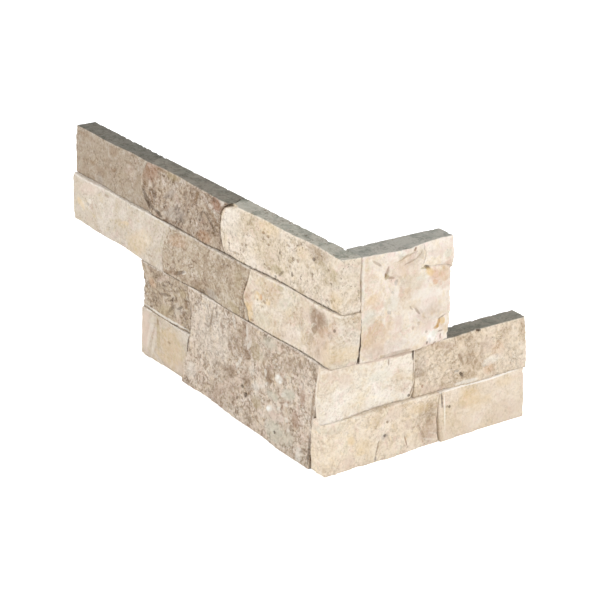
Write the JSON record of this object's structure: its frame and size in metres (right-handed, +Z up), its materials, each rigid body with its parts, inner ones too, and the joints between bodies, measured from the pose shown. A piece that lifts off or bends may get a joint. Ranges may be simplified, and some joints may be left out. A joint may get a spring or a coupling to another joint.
{
  "type": "stacked stone corner panel",
  "caption": "L-shaped ledger corner panel of natural stone strips glued in staggered courses, with split faces outside and sawn flat backs inside.",
  "frame": {"origin": "foot of the inner corner edge, where the sawn backs of the two legs and the bottom bed meet", "axes": "+Z up along the inner corner edge, -X along the long leg with its split face towards -Y, +Y along the short leg with its split face towards +X"},
  "size_m": [0.3489, 0.1867, 0.1524],
  "materials": {
    "top_course_end_travertine": "split natural travertine, sawn beds and back",
    "top_course_middle_travertine": "split natural travertine, sawn beds and back",
    "top_course_corner_travertine": "split natural travertine, sawn beds and back",
    "upper_course_end_travertine": "split natural travertine, sawn beds and back",
    "upper_course_middle_travertine": "split natural travertine, sawn beds and back",
    "upper_course_corner_travertine": "split natural travertine, sawn beds and back",
    "lower_course_end_travertine": "split natural travertine, sawn beds and back",
    "bottom_course_end_travertine": "split natural travertine, sawn beds and back",
    "long_leg_double_travertine": "split natural travertine, sawn beds and back",
    "short_leg_double_travertine": "split natural travertine, sawn beds and back",
    "lower_course_corner_travertine": "split natural travertine, sawn beds and back",
    "lower_course_return_travertine": "split natural travertine, sawn beds and back",
    "bottom_course_corner_travertine": "split natural travertine, sawn beds and back",
    "bottom_course_return_travertine": "split natural travertine, sawn beds and back"
  },
  "bodies": {
    "root": {"top_course_end_stone": "top_course_end_travertine", "top_course_middle_stone": "top_course_middle_travertine", "top_course_corner_stone": "top_course_corner_travertine", "upper_course_end_stone": "upper_course_end_travertine", "upper_course_middle_stone": "upper_course_middle_travertine", "upper_course_corner_stone": "upper_course_corner_travertine", "lower_course_end_stone": "lower_course_end_travertine", "bottom_course_end_stone": "bottom_course_end_travertine", "long_leg_double_block": "long_leg_double_travertine", "short_leg_double_block": "short_leg_double_travertine", "lower_course_corner_stone": "lower_course_corner_travertine", "lower_course_return_stone": "lower_course_return_travertine", "bottom_course_corner_stone": "bottom_course_corner_travertine", "bottom_course_return_stone": "bottom_course_return_travertine"}
  },
  "joints": []
}
